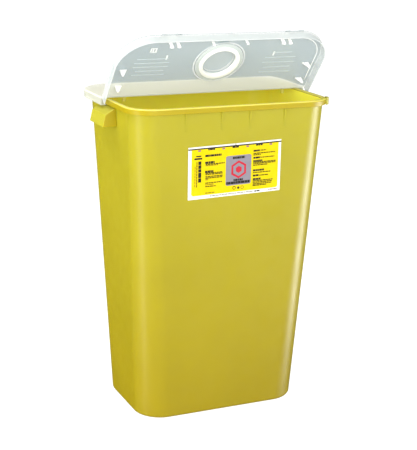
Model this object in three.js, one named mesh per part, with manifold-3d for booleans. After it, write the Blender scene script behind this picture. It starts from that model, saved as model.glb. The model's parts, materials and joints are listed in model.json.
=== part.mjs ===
// Floor-standing sharps container: a tapered bin with a rolled rim, and a lid of two halves. The rear half is
// fixed on the rim. The front half folds up about a thin web and carries a round port with a flip cap.
// Millimetres. +X is to the right seen from the front, +Y to the rear, +Z up. The origin is the middle of the base.

import * as THREE from 'three';
import { mergeVertices } from 'three/addons/utils/BufferGeometryUtils.js';
import Module from 'manifold-3d';

const wasm = await Module();
wasm.setup();

// ---- Driving dimensions ----

const GAP = 0.3; // left between pieces that touch

const BASE = { halfX: 181, halfY: 119, corner: 60 }; // outline of the wall at the floor
const NECK = { halfX: 213, halfY: 149, corner: 49 }; // outline of the wall under the rim
const NECK_Z = 649; // lower edge of the rim
const RIM_Z = 661; // top of the rim
const RIM_OUT = 7; // how far the rim stands out of the wall
const RIM_LIP = 2.3; // thickness of the rim's hanging lip
const RIM_DECK = 3; // thickness of the rim's top
const RIM_ROUND = 3.5;
const WALL = 2.5;
const FLOOR = 3;
const BASE_ROUND = 8; // edge between the wall and the base
const CORNER_STEPS = 8;

const GUSSET_X = [31, 108]; // gussets under the front rim, on both sides of the middle
const GUSSET = { width: 3, bottomZ: 614, out: 2 };

const HANDLE = { halfY: 40, outX: 241, edgeX: 235.5, bottomZ: 610, edgeZ: 634, topZ: 648, wall: 3 };
const LUG = { y: -117, radius: 8, outX: 224, bottomZ: 646, hole: 2.6 };

const LABEL = { x: 1.4, z: 529.5, halfX: 102, halfY: 53.6, turn: 1.4, thick: 0.4 }; // turn in degrees

const HINGE_Z = 664; // top face of the lid, and the fold's axis
const LID_HALF_X = 230;
const LID_T = 2.5; // plate
const SKIRT_T = 2.2;
const COVER = { rearY: 173, corner: 78, skirt: 17 };
const FLAP = { length: 171, corner: 72, skirt: 21.5 };
const FOLD = { radius: 1.5, halfX: 226, clear: 1.9 };
const FLAP_OPEN = 51.5; // degrees up from closed, as it stands at rest

const PORT = { along: 91, hole: 38, ringIn: 53, ringOut: 55.5, ringDeep: 4.8 };
const COLLAR = { bore: 35.5, tube: 37.7, flange: 51, lip: 43.5, top: 5, bottom: -8.5 };
const CAP = { radius: 44, skirtT: 2.4, underZ: 5.4, topZ: 7.6, plugOut: 35, plugIn: 32.6 };
const PIVOT = { along: 42, z: 4.4, pin: 1.8, hole: 2.15, barrel: 3.4, halfX: 11, ear: 3 };

// ---- Shapes and solids ----

const rad = (degrees) => THREE.MathUtils.degToRad(degrees);

function solid(geometry) {
  const bare = geometry.clone();
  bare.deleteAttribute('normal');
  bare.deleteAttribute('uv');
  const merged = mergeVertices(bare, 1e-4);
  const mesh = new wasm.Mesh({
    numProp: 3,
    vertProperties: new Float32Array(merged.attributes.position.array),
    triVerts: new Uint32Array(merged.index.array),
  });
  return new wasm.Manifold(mesh);
}

function geometryOf(manifold) {
  const mesh = manifold.getMesh();
  const geometry = new THREE.BufferGeometry();
  geometry.setAttribute('position', new THREE.BufferAttribute(new Float32Array(mesh.vertProperties), 3));
  geometry.setIndex(new THREE.BufferAttribute(new Uint32Array(mesh.triVerts), 1));
  geometry.computeVertexNormals();
  return geometry;
}

const shapeOf = (points) => new THREE.Shape(points.map(([a, b]) => new THREE.Vector2(a, b)));

function extrude(shape, depth, segments = CORNER_STEPS) {
  return new THREE.ExtrudeGeometry(shape, { depth, bevelEnabled: false, curveSegments: segments });
}

// An XY outline from lowZ to highZ
function slab(shape, lowZ, highZ, segments) {
  return solid(extrude(shape, highZ - lowZ, segments).translate(0, 0, lowZ));
}

// An XZ outline from lowY to highY
function acrossY(points, lowY, highY) {
  return solid(extrude(shapeOf(points), highY - lowY).rotateX(Math.PI / 2).translate(0, highY, 0));
}

// A YZ outline from lowX to highX
function acrossX(points, lowX, highX) {
  const turn = new THREE.Matrix4().set(0, 0, 1, lowX, 1, 0, 0, 0, 0, 1, 0, 0, 0, 0, 0, 1);
  return solid(extrude(shapeOf(points), highX - lowX).applyMatrix4(turn));
}

function box(lowX, highX, lowY, highY, lowZ, highZ) {
  const sides = new THREE.BoxGeometry(highX - lowX, highY - lowY, highZ - lowZ);
  return solid(sides.translate((lowX + highX) / 2, (lowY + highY) / 2, (lowZ + highZ) / 2));
}

function disc(x, y, radius, lowZ, highZ, segments = 48) {
  const round = new THREE.CylinderGeometry(radius, radius, highZ - lowZ, segments).rotateX(Math.PI / 2);
  return solid(round.translate(x, y, (lowZ + highZ) / 2));
}

function rodX(y, z, radius, lowX, highX, segments = 24) {
  const rod = new THREE.CylinderGeometry(radius, radius, highX - lowX, segments).rotateZ(Math.PI / 2);
  return solid(rod.translate((lowX + highX) / 2, y, z));
}

// A ring or tube about Z, from its section as a loop of [radius, z], listed up the hole and down the outside
function turned(section, x, y, segments = 48) {
  const loop = [...section, section[0]].reverse().map(([r, z]) => new THREE.Vector2(r, z));
  return solid(new THREE.LatheGeometry(loop, segments).rotateX(Math.PI / 2).translate(x, y, 0));
}

function roundedRectangle(halfX, halfY, corner) {
  const points = [];
  const centres = [[1, 1, 0], [-1, 1, 90], [-1, -1, 180], [1, -1, 270]];
  for (const [sideX, sideY, start] of centres) {
    for (let step = 0; step <= CORNER_STEPS; step += 1) {
      const angle = rad(start + (90 * step) / CORNER_STEPS);
      points.push([
        sideX * (halfX - corner) + corner * Math.cos(angle),
        sideY * (halfY - corner) + corner * Math.sin(angle),
      ]);
    }
  }
  return points;
}

// Half of the lid seen from above: straight along the fold at nearY, with two round corners at farY
function lidOutline(halfX, nearY, farY, corner) {
  const turn = Math.sign(farY);
  const shape = new THREE.Shape();
  shape.moveTo(-halfX, nearY);
  shape.lineTo(halfX, nearY);
  shape.lineTo(halfX, farY - turn * corner);
  shape.absarc(halfX - corner, farY - turn * corner, corner, 0, (turn * Math.PI) / 2, turn < 0);
  shape.lineTo(corner - halfX, farY);
  shape.absarc(corner - halfX, farY - turn * corner, corner, (turn * Math.PI) / 2, turn * Math.PI, turn < 0);
  shape.closePath();
  return shape;
}

// Plate and skirt of half of the lid, with its top at Z = 0
function lidHalf(nearY, farY, corner, skirt) {
  const turn = Math.sign(farY);
  const outer = slab(lidOutline(LID_HALF_X, nearY, farY, corner), -skirt, 0);
  const inside = lidOutline(LID_HALF_X - SKIRT_T, nearY - turn, farY - turn * SKIRT_T, corner - SKIRT_T);
  return outer.subtract(slab(inside, -skirt - 1, -LID_T));
}

// ---- The container ----

function wallOutline(z, grow) {
  const share = Math.min(z / NECK_Z, 1);
  const mix = (low, high) => low + (high - low) * share + grow;
  const corner = Math.max(mix(BASE.corner, NECK.corner), 1);
  return roundedRectangle(mix(BASE.halfX, NECK.halfX), mix(BASE.halfY, NECK.halfY), corner);
}

const wallX = (z) => BASE.halfX + ((NECK.halfX - BASE.halfX) * z) / NECK_Z;
const wallY = (z) => BASE.halfY + ((NECK.halfY - BASE.halfY) * z) / NECK_Z;

// Stacked outlines, each [z, grow], closed by a flat base under the first and a flat floor on the last
function stacked(levels) {
  const rings = levels.map(([z, grow]) => wallOutline(z, grow).map(([x, y]) => [x, y, z]));
  const count = rings[0].length;
  const positions = rings.flat(2);
  const index = [];
  for (let level = 0; level + 1 < rings.length; level += 1) {
    for (let side = 0; side < count; side += 1) {
      const next = (side + 1) % count;
      const [a, b] = [level * count + side, level * count + next];
      index.push(a, b, b + count, a, b + count, a + count);
    }
  }
  const last = (rings.length - 1) * count;
  const baseCentre = positions.length / 3;
  positions.push(0, 0, levels[0][0], 0, 0, levels[levels.length - 1][0]);
  for (let side = 0; side < count; side += 1) {
    const next = (side + 1) % count;
    index.push(baseCentre, next, side, baseCentre + 1, last + side, last + next);
  }
  const geometry = new THREE.BufferGeometry();
  geometry.setAttribute('position', new THREE.Float32BufferAttribute(positions, 3));
  geometry.setIndex(index);
  return solid(geometry);
}

// Levels of a quarter round: from is its start angle, to its end angle, about [z, grow]
function quarter([z, grow], radius, from, to, steps = 4) {
  return Array.from({ length: steps + 1 }, (_, step) => {
    const angle = rad(from + ((to - from) * step) / steps);
    return [z + radius * Math.sin(angle), grow + radius * Math.cos(angle)];
  });
}

function containerBody() {
  const inner = BASE_ROUND - WALL;
  let body = stacked([
    ...quarter([BASE_ROUND, -BASE_ROUND], BASE_ROUND, -90, 0),
    [RIM_Z - RIM_DECK, 0],
    [RIM_Z - RIM_DECK, RIM_OUT - RIM_LIP],
    [NECK_Z, RIM_OUT - RIM_LIP],
    [NECK_Z, RIM_OUT],
    ...quarter([RIM_Z - RIM_ROUND, RIM_OUT - RIM_ROUND], RIM_ROUND, 0, 90),
    ...quarter([RIM_Z - RIM_ROUND, RIM_ROUND - WALL], RIM_ROUND, 90, 180),
    ...quarter([FLOOR + inner, -WALL - inner], inner, 0, -90),
  ]);
  const half = GUSSET.width / 2;
  const top = RIM_Z - RIM_DECK + 1;
  const out = RIM_OUT - RIM_LIP + 0.5;
  const outline = [
    [-wallY(GUSSET.bottomZ) + 1, GUSSET.bottomZ],
    [-NECK.halfY - GUSSET.out, NECK_Z],
    [-NECK.halfY - out, NECK_Z + 1],
    [-NECK.halfY - out, top],
    [-NECK.halfY + 1, top],
  ];
  for (const x of GUSSET_X.flatMap((value) => [-value, value])) {
    body = body.add(acrossX(outline, x - half, x + half));
  }
  return body;
}

// A hood open at the bottom, closed against the wall
function handle(side) {
  const { halfY, outX, edgeX, bottomZ, edgeZ, topZ, wall } = HANDLE;
  const outline = [
    [wallX(bottomZ) + GAP, bottomZ],
    [outX, bottomZ],
    [edgeX, edgeZ],
    [wallX(topZ) + GAP, topZ],
  ];
  const hollow = [
    [wallX(bottomZ) - 5, bottomZ - 5],
    [outX - wall + 1, bottomZ - 5],
    [edgeX - wall, edgeZ - 1.6],
    [wallX(topZ) - 5, topZ + 0.2],
  ];
  const flip = (points) => points.map(([x, z]) => [side * x, z]);
  return acrossY(flip(outline), -halfY, halfY).subtract(acrossY(flip(hollow), wall - halfY, halfY - wall));
}

function rimLug() {
  const { y, radius, outX, bottomZ, hole } = LUG;
  const far = outX - radius;
  const block = box(far - 30, far, y - radius, y + radius, bottomZ, RIM_Z);
  const shape = shapeOf(roundedRectangle(NECK.halfX + RIM_OUT + GAP, NECK.halfY + RIM_OUT + GAP, NECK.corner + RIM_OUT));
  const rim = slab(shape, bottomZ - 1, RIM_Z + 1);
  const tab = block.add(disc(far, y, radius, bottomZ, RIM_Z, 32));
  return tab.subtract(rim).subtract(disc(far + 2, y, hole, bottomZ - 1, RIM_Z + 1, 24));
}

// A sheet on the slanting front wall, a little turned
function frontLabel() {
  const { x, z, halfX, halfY, turn, thick } = LABEL;
  const slope = THREE.MathUtils.radToDeg(Math.atan2(NECK.halfY - BASE.halfY, NECK_Z));
  return box(-halfX, halfX, -halfY, halfY, 0, thick)
    .rotate([0, 0, turn])
    .rotate([90 + slope, 0, 0])
    .translate([x, -wallY(z) - GAP, z]);
}

// ---- The lid's rear half, with its top at Z = 0 ----

const rearCover = () => lidHalf(FOLD.clear, COVER.rearY, COVER.corner, COVER.skirt);

// A catch that hangs from the plate and reaches in under the rim's lip. The outline is [distance out, z].
function catchOutline(rimOut, skirtIn) {
  const lipZ = NECK_Z - HINGE_Z;
  const back = Math.min(skirtIn - GAP, rimOut + 8);
  return [
    [back, -LID_T - GAP],
    [back, lipZ - 1.7],
    [back - 1, lipZ - 2.6],
    [rimOut - 1, lipZ - 2.6],
    [rimOut - RIM_LIP + 0.2, lipZ - GAP],
    [rimOut + 1.2, lipZ - GAP],
    [rimOut + 4, lipZ + 4],
    [rimOut + 4, -LID_T - GAP],
  ];
}

function coverClip(side) {
  const outline = catchOutline(NECK.halfX + RIM_OUT, LID_HALF_X - SKIRT_T);
  return acrossY(outline.map(([x, z]) => [side * x, z]), 4, 12);
}

function coverClipRear(side) {
  const x = side * 100;
  return acrossX(catchOutline(NECK.halfY + RIM_OUT, COVER.rearY - SKIRT_T), x - 12, x + 12);
}

const coverTab = (side) => box(side * 180 - 3.5, side * 180 + 3.5, 2.5, 4.5, -12, -LID_T - GAP);

function hingeStrip() {
  const outline = Array.from({ length: 9 }, (_, step) => {
    const angle = rad(180 + (180 * step) / 8);
    return [FOLD.radius * Math.cos(angle), FOLD.radius * Math.sin(angle)];
  });
  return acrossX(outline, -FOLD.halfX, FOLD.halfX);
}

// ---- The lid's front half, drawn closed: the fold at the origin, its top at Z = 0, reaching to -Y ----

const underPlate = -LID_T - GAP;

function frontFlap() {
  const y = -PORT.along;
  const ring = disc(0, y, PORT.ringOut, -PORT.ringDeep, -LID_T + 0.5)
    .subtract(disc(0, y, PORT.ringIn, -PORT.ringDeep - 1, 0));
  return lidHalf(-FOLD.clear, -FLAP.length, FLAP.corner, FLAP.skirt)
    .add(ring)
    .subtract(disc(0, y, PORT.hole, -20, 5));
}

const flapRib = (side) => box(side * 36.5 - 2.2, side * 36.5 + 2.2, -161, -157.8, -23.5, underPlate);

function sideClip(side, along) {
  const outline = [[194.5, underPlate], [209.6, underPlate], [209.4, -12], [208.6, -19], [205.4, -19]];
  return acrossY(outline.map(([x, z]) => [side * x, z]), -along - 1.25, -along + 1.25);
}

// Two arms on a bar, hooked towards the wall at their lower ends
function frontLatch(side) {
  const middle = side * 121;
  const back = -(FLAP.length - SKIRT_T - GAP);
  const arm = [
    [back + 3, underPlate],
    [back + 3, -30],
    [back + 6, -30],
    [-158.2, -25],
    [-158.2, -24],
    [back + 6.5, -22],
    [back + 6.5, underPlate],
  ];
  let latch = box(middle - 10, middle + 10, back, back + 6.5, underPlate - 2.4, underPlate);
  for (const [low, high] of [[-10, -5], [5, 10]]) {
    latch = latch.add(acrossX(arm, middle + low, middle + high));
  }
  return latch;
}

// A low finger rest with a bump near each end, over a latch
function latchPad(side) {
  const middle = side < 0 ? -121.5 : 146.5;
  let pad = box(middle - 22, middle + 22, -169.5, -160, GAP, 1.5);
  for (const bump of [-15, 15]) {
    pad = pad.add(box(middle + bump - 5.5, middle + bump + 5.5, -169.5, -161, GAP, 3.4));
  }
  return pad;
}

const thumbTab = () => slab(
  lidOutline(8, -FLAP.length - GAP, -FLAP.length - 5, 3.5),
  -LID_T,
  0,
);

function portCollar() {
  const { bore, tube, flange, lip, top, bottom } = COLLAR;
  const section = [
    [bore, bottom + 1],
    [bore, top],
    [tube, top],
    [tube + 1.6, 2.3],
    [tube + 1.6, GAP],
    [tube, GAP],
    [tube, underPlate],
    [flange, underPlate],
    [flange, -4.6],
    [flange - 1.2, -5.4],
    [lip - 0.6, -5.9],
    [lip, -6.5],
    [lip, bottom + 1],
    [lip - 1.2, bottom],
    [bore + 1, bottom],
  ];
  return turned(section, 0, -PORT.along);
}

function portCap() {
  const y = -PORT.along;
  const { radius, skirtT, underZ, topZ, plugOut, plugIn } = CAP;
  const shell = disc(0, y, radius, 0.5, topZ).subtract(disc(0, y, radius - skirtT, 0, underZ));
  const plug = disc(0, y, plugOut, 0.2, underZ + 0.5).subtract(disc(0, y, plugIn, 0, underZ));
  const arm = box(-PIVOT.halfX, PIVOT.halfX, y + radius - 1.5, -PIVOT.along, PIVOT.z - 1.6, PIVOT.z + 2.4);
  const barrel = rodX(-PIVOT.along, PIVOT.z, PIVOT.barrel, -PIVOT.halfX, PIVOT.halfX);
  const pins = rodX(-PIVOT.along, PIVOT.z, PIVOT.pin, -PIVOT.halfX - 3.4, PIVOT.halfX + 3.4);
  const tab = slab(lidOutline(11, y - radius + 3, y - radius - 8, 6), topZ - 2.4, topZ);
  return shell.add(plug).add(arm).add(barrel).add(pins).add(tab);
}

function capBracket(side) {
  const near = side * (PIVOT.halfX + 0.6);
  const far = near + side * PIVOT.ear;
  const [low, high] = [Math.min(near, far), Math.max(near, far)];
  const radius = PIVOT.hole + 1.8;
  return box(low, high, -PIVOT.along - radius, -PIVOT.along + radius, GAP, PIVOT.z)
    .add(rodX(-PIVOT.along, PIVOT.z, radius, low, high))
    .subtract(rodX(-PIVOT.along, PIVOT.z, PIVOT.hole, low - 1, high + 1));
}

// ---- Assembly ----

const yellow = new THREE.MeshStandardMaterial({ color: 0xd3c841, roughness: 0.42, metalness: 0 });
const clear = new THREE.MeshStandardMaterial({
  color: 0xdfe4e3, roughness: 0.35, metalness: 0, transparent: true, opacity: 0.6,
});
const whitish = new THREE.MeshStandardMaterial({ color: 0xeef0e8, roughness: 0.45, metalness: 0 });
const paper = new THREE.MeshStandardMaterial({ color: 0xffee00, roughness: 0.5, metalness: 0 });

function place(group, name, manifold, material) {
  const mesh = new THREE.Mesh(geometryOf(manifold), material);
  mesh.name = name;
  group.add(mesh);
}

const container = new THREE.Group();
place(container, 'container_body', containerBody(), yellow);
place(container, 'rim_lug', rimLug(), yellow);
place(container, 'front_label', frontLabel(), paper);

const cover = new THREE.Group();
cover.position.z = HINGE_Z;
place(cover, 'rear_cover', rearCover(), clear);
place(cover, 'hinge_strip', hingeStrip(), clear);

const flap = new THREE.Group();
flap.position.z = HINGE_Z;
flap.rotation.x = -rad(FLAP_OPEN);
place(flap, 'front_flap', frontFlap(), clear);
place(flap, 'thumb_tab', thumbTab(), clear);
place(flap, 'port_collar', portCollar(), whitish);
place(flap, 'port_cap', portCap(), clear);

for (const [side, word] of [[-1, 'left'], [1, 'right']]) {
  place(container, `handle_${word}`, handle(side), yellow);
  place(cover, `cover_clip_${word}`, coverClip(side), clear);
  place(cover, `cover_clip_rear_${word}`, coverClipRear(side), clear);
  place(cover, `cover_tab_${word}`, coverTab(side), clear);
  place(flap, `flap_rib_${word}`, flapRib(side), clear);
  place(flap, `side_clip_front_${word}`, sideClip(side, 79), clear);
  place(flap, `side_clip_rear_${word}`, sideClip(side, 33), clear);
  place(flap, `front_latch_${word}`, frontLatch(side), clear);
  place(flap, `latch_pad_${word}`, latchPad(side), clear);
  place(flap, `cap_bracket_${word}`, capBracket(side), clear);
}

const sharpsContainer = new THREE.Group();
sharpsContainer.add(container, cover, flap);
export default sharpsContainer;
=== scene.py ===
"""Looks of the floor-standing sharps container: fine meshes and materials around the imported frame.

Shapes are drawn in millimetres and scaled to metres as they become objects. Lid pieces are drawn closed,
with the fold at the origin and their top at Z = 0, then moved to the fold's place at rest.
"""

import json
import math
import random

import bmesh
import bpy
from mathutils import Matrix, Vector


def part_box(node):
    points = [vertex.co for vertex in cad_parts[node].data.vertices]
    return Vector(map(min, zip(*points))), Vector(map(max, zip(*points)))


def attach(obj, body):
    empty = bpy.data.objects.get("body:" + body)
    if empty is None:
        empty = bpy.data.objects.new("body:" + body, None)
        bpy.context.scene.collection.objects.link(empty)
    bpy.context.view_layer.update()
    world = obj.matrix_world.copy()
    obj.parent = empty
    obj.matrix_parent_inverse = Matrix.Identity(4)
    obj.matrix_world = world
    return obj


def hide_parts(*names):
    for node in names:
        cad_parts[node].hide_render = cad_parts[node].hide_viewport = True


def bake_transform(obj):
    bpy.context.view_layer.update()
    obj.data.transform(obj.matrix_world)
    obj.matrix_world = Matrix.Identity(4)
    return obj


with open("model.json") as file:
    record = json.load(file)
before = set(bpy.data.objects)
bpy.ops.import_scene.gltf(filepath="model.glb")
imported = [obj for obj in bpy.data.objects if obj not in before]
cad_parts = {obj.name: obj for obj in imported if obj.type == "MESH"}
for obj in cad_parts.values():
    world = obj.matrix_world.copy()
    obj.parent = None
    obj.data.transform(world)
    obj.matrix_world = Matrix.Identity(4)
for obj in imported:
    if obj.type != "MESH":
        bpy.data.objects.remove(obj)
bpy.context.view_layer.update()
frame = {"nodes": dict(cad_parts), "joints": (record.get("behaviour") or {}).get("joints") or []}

MM = 0.001
GAP = 0.3
joints = {joint["name"]: joint for joint in frame["joints"]}

# ---- Sizes in millimetres, from the frame where it has them ----

rim_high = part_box("container_body")[1] / MM
RIM_Z = rim_high.z
RIM_OUT = 7.0
NECK = (rim_high.x - RIM_OUT, rim_high.y - RIM_OUT, 49.0)
NECK_Z = RIM_Z - 12
BASE = (181.0, 119.0, 60.0)  # half length, half depth and corner radius, as for NECK
RIM_LIP, RIM_DECK, RIM_ROUND = 2.3, 3.0, 3.5
WALL, FLOOR, BASE_ROUND = 2.5, 3.0, 8.0
GUSSET_AT, GUSSET_BOTTOM, GUSSET_HALF = (-108, -31, 31, 108), 614, 2.5
HOOD_EDGE, HOOD_SLOPE, HOOD_WALL = 634.0, 5.5, 3.0

HINGE = Vector(joints["flap_hinge"]["pos_m"]) / MM
FLAP_OPEN = joints["flap_hinge"]["range_deg"][1]
LID_T, SKIRT_T = 2.5, 2.2
LID_HALF_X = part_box("rear_cover")[1].x / MM
COVER_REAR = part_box("rear_cover")[1].y / MM
COVER_SKIRT, COVER_CORNER = 17.0, 78.0
FLAP_LENGTH, FLAP_CORNER, FLAP_SKIRT = 171.0, 72.0, 21.5
FOLD_CLEAR, FOLD_HALF_X = 1.9, 226.0
PORT_ALONG, PORT_HOLE = 91.0, 38.0
PORT_STEPS = 112
CAP_RADIUS = 44.0
PIVOT_ALONG, PIVOT_Z, PIVOT_PIN, PIVOT_HALF_X = 42.0, 4.4, 1.8, 11
UNDER_LID = -LID_T - GAP  # where the pieces that hang under the lid begin

LABEL = {"x": 1.4, "z": 529.5, "half_x": 102.0, "turn": 1.4}
PLASTIC_IOR = 1.49

AT_FOLD = Matrix.Translation(HINGE)
ON_FLAP = AT_FOLD @ Matrix.Rotation(-math.radians(FLAP_OPEN), 4, "X")

# ---- Materials ----


def material(name, colour, alpha=1.0):
    """A Principled material with its node tree, base colour and shader ready for more nodes."""
    made = bpy.data.materials.new(name)
    made.use_nodes = True
    shader = made.node_tree.nodes["Principled BSDF"]
    shader.inputs["Base Color"].default_value = (*colour, 1)
    shader.inputs["Alpha"].default_value = alpha
    return made, made.node_tree, shader


def noise(tree, scale, detail=3.0):
    """Noise over object space in metres."""
    place = tree.nodes.new("ShaderNodeTexCoord")
    made = tree.nodes.new("ShaderNodeTexNoise")
    made.inputs["Scale"].default_value = scale
    made.inputs["Detail"].default_value = detail
    tree.links.new(place.outputs["Object"], made.inputs["Vector"])
    return made.outputs["Fac"]


def spread(tree, value, low, high):
    """Noise value stretched to run from low to high."""
    made = tree.nodes.new("ShaderNodeMapRange")
    made.inputs["From Min"].default_value = 0.3
    made.inputs["From Max"].default_value = 0.7
    made.inputs["To Min"].default_value = low
    made.inputs["To Max"].default_value = high
    tree.links.new(value, made.inputs["Value"])
    return made.outputs["Result"]


def vary(tree, shader, value, low, high):
    """Base colour that wanders between two colours with value."""
    ramp = tree.nodes.new("ShaderNodeValToRGB")
    ramp.color_ramp.elements[0].position = 0.3
    ramp.color_ramp.elements[1].position = 0.7
    ramp.color_ramp.elements[0].color = (*low, 1)
    ramp.color_ramp.elements[1].color = (*high, 1)
    tree.links.new(value, ramp.inputs["Fac"])
    tree.links.new(ramp.outputs["Color"], shader.inputs["Base Color"])


def bump(tree, shader, layers):
    """Bump from (height socket, strength, distance in metres) layers, one after another."""
    previous = None
    for height, strength, distance in layers:
        node = tree.nodes.new("ShaderNodeBump")
        node.inputs["Strength"].default_value = strength
        node.inputs["Distance"].default_value = distance
        tree.links.new(height, node.inputs["Height"])
        if previous is not None:
            tree.links.new(previous, node.inputs["Normal"])
        previous = node.outputs["Normal"]
    tree.links.new(previous, shader.inputs["Normal"])


def object_axes(tree, turn=0.0, origin=(0.0, 0.0, 0.0)):
    """X, Y and Z of object space in metres about origin, turned about X by degrees."""
    place = tree.nodes.new("ShaderNodeTexCoord")
    mapping = tree.nodes.new("ShaderNodeMapping")
    about = Matrix.Rotation(math.radians(turn), 3, "X") @ Vector(origin)
    mapping.inputs["Rotation"].default_value = (math.radians(turn), 0, 0)
    mapping.inputs["Location"].default_value = -about
    apart = tree.nodes.new("ShaderNodeSeparateXYZ")
    tree.links.new(place.outputs["Object"], mapping.inputs["Vector"])
    tree.links.new(mapping.outputs["Vector"], apart.inputs["Vector"])
    return apart.outputs["X"], apart.outputs["Y"], apart.outputs["Z"]


def remap(tree, value, start, end, low=0.0, high=1.0, soft=True):
    """value stretched from start..end to low..high and held there."""
    made = tree.nodes.new("ShaderNodeMapRange")
    made.interpolation_type = "SMOOTHSTEP" if soft else "LINEAR"
    for name, number in (("From Min", start), ("From Max", end), ("To Min", low), ("To Max", high)):
        made.inputs[name].default_value = number
    tree.links.new(value, made.inputs["Value"])
    return made.outputs["Result"]


def difference(tree, first, second):
    made = tree.nodes.new("ShaderNodeMath")
    made.operation = "SUBTRACT"
    tree.links.new(first, made.inputs[0])
    tree.links.new(second, made.inputs[1])
    return made.outputs["Value"]


def blended(tree, share, low, high, mode="MIX"):
    """Colour from low to high by the socket share. Each colour is a tuple or a socket."""
    made = tree.nodes.new("ShaderNodeMix")
    made.data_type, made.blend_type = "RGBA", mode
    sockets = [socket for socket in made.inputs if socket.type == "RGBA"]
    for socket, colour in zip(sockets, (low, high)):
        if isinstance(colour, tuple):
            socket.default_value = (*colour, 1)
        else:
            tree.links.new(colour, socket)
    tree.links.new(share, made.inputs["Factor"])
    return next(socket for socket in made.outputs if socket.type == "RGBA")


def yellow_plastic(name, foot, head):
    """Pigmented plastic whose base colour grows deeper and warmer towards the floor: painted shade, the lower
    wall darker as if less light fell there.
    """
    made, tree, shader = material(name, head)
    _, _, height = object_axes(tree)
    # Painted shade: the base colour runs from foot at the floor to head at 0.66 m.
    rise = remap(tree, height, 0.0, 0.66, soft=False)
    colour = blended(tree, rise, foot, head)
    mottle = spread(tree, noise(tree, 6.0), 0.0, 0.6)
    tree.links.new(blended(tree, mottle, colour, (0.88, 0.88, 0.8), "MULTIPLY"), shader.inputs["Base Color"])
    tree.links.new(spread(tree, noise(tree, 40.0), 0.33, 0.42), shader.inputs["Roughness"])
    shader.inputs["IOR"].default_value = PLASTIC_IOR
    shader.inputs["Specular IOR Level"].default_value = 0.32
    shader.inputs["Subsurface Weight"].default_value = 0.5
    shader.inputs["Subsurface Scale"].default_value = 0.003
    shader.inputs["Subsurface Radius"].default_value = (1.0, 0.8, 0.1)
    bump(tree, shader, [(noise(tree, 9.0, 1.0), 0.25, 0.002), (noise(tree, 1500.0), 0.08, 0.0001)])
    return made


def clear_surface(tree, shader, wave, grain, smooth, rough):
    """Gloss and gentle waves of translucent plastic. wave and grain are noise scales."""
    tree.links.new(spread(tree, noise(tree, grain), smooth, rough), shader.inputs["Roughness"])
    shader.inputs["IOR"].default_value = PLASTIC_IOR
    shader.inputs["Specular IOR Level"].default_value = 0.3
    bump(tree, shader, [(noise(tree, wave, 1.0), 0.2, 0.001), (noise(tree, 900.0), 0.05, 0.0001)])


def clear_plastic(name, low, high, alpha):
    """Natural translucent plastic: two faces of a wall add up to a cloudy sheet."""
    made, tree, shader = material(name, low, alpha)
    vary(tree, shader, noise(tree, 14.0), low, high)
    clear_surface(tree, shader, 22.0, 60.0, 0.26, 0.36)
    return made


def lid_plastic(name, plate, skirt, alpha, turn=0.0, near_fold=None):
    """A lid half's plastic. The skirt has its own colour, and so has the flap near its fold.

    The flap's band by the fold is a painted view of the cover seen through it, and its edge curves down to
    the right. On the flap the skirt's lighter colour is a painted highlight where it catches the top light;
    on the cover the skirt is darker than the plate.
    """
    made, tree, shader = material(name, plate, alpha)
    across, away, up = object_axes(tree, turn, HINGE * MM)
    body = plate
    if near_fold:
        # Painted view of the cover seen through the flap, on the band by the fold.
        edge = remap(tree, across, 0.12, 0.26, -0.042, 0.0)
        cover_seen_share = remap(tree, difference(tree, away, edge), -0.002, 0.002)
        body = blended(tree, cover_seen_share, plate, near_fold)
    # The skirt below the plate takes its own colour: on the flap a painted highlight.
    body = blended(tree, remap(tree, up, -0.0034, -0.0026, 1.0, 0.0), body, skirt)
    mottle = spread(tree, noise(tree, 7.0, 1.0), 0.0, 0.08)
    tree.links.new(blended(tree, mottle, body, (1.0, 1.0, 1.0)), shader.inputs["Base Color"])
    clear_surface(tree, shader, 9.0, 30.0, 0.32, 0.36)
    return made


def print_ink(name, colour):
    """Printed film with a faint unevenness in the ink."""
    made, tree, shader = material(name, colour)
    vary(tree, shader, noise(tree, 90.0), colour, tuple(min(1.0, c * 1.06 + 0.004) for c in colour))
    tree.links.new(spread(tree, noise(tree, 250.0), 0.40, 0.53), shader.inputs["Roughness"])
    shader.inputs["Specular IOR Level"].default_value = 0.06
    bump(tree, shader, [(noise(tree, 2500.0), 0.05, 0.00005)])
    return made


YELLOW = yellow_plastic("bin_yellow", (0.288, 0.22, 0.004), (0.355, 0.316, 0.016))
# Painted light: a much lighter copy of the bin's yellow for its shaded inside.
YELLOW_INSIDE_LIT = yellow_plastic("bin_yellow_inside_lit", (0.92, 0.86, 0.06), (0.95, 0.88, 0.09))
# Painted highlight: a pale copy of the bin's yellow along the rim's crest.
YELLOW_CREST_HIGHLIGHT = yellow_plastic("bin_yellow_crest_highlight", (0.62, 0.56, 0.11), (0.62, 0.56, 0.11))
# Painted shade: a deeper copy of the bin's yellow for the band under the rim's crest and the handle hoods'
# end faces.
YELLOW_RIM_SHADE = yellow_plastic("bin_yellow_rim_shade", (0.36, 0.28, 0.005), (0.36, 0.28, 0.005))
# Painted light: a lighter copy of the bin's yellow for the handle hoods.
YELLOW_HOOD_LIT = yellow_plastic("bin_yellow_hood_lit", (0.41, 0.375, 0.03), (0.41, 0.375, 0.03))
# The flap's underside and skirt: the plate is darker than the top face, painted shade; the skirt is lighter,
# a painted highlight; the band by the fold is a painted view of the cover behind.
FLAP_PAINTED_LIGHT_AND_SHADE = lid_plastic(
    "flap_clear_painted_light_and_shade",
    plate=(0.14, 0.235, 0.255),
    skirt=(0.65, 0.68, 0.66),
    alpha=0.5,
    turn=FLAP_OPEN,
    near_fold=(0.80, 0.82, 0.77),
)
FLAP_TOP = clear_plastic("flap_top", (0.58, 0.61, 0.58), (0.63, 0.66, 0.63), 0.5)
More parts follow.
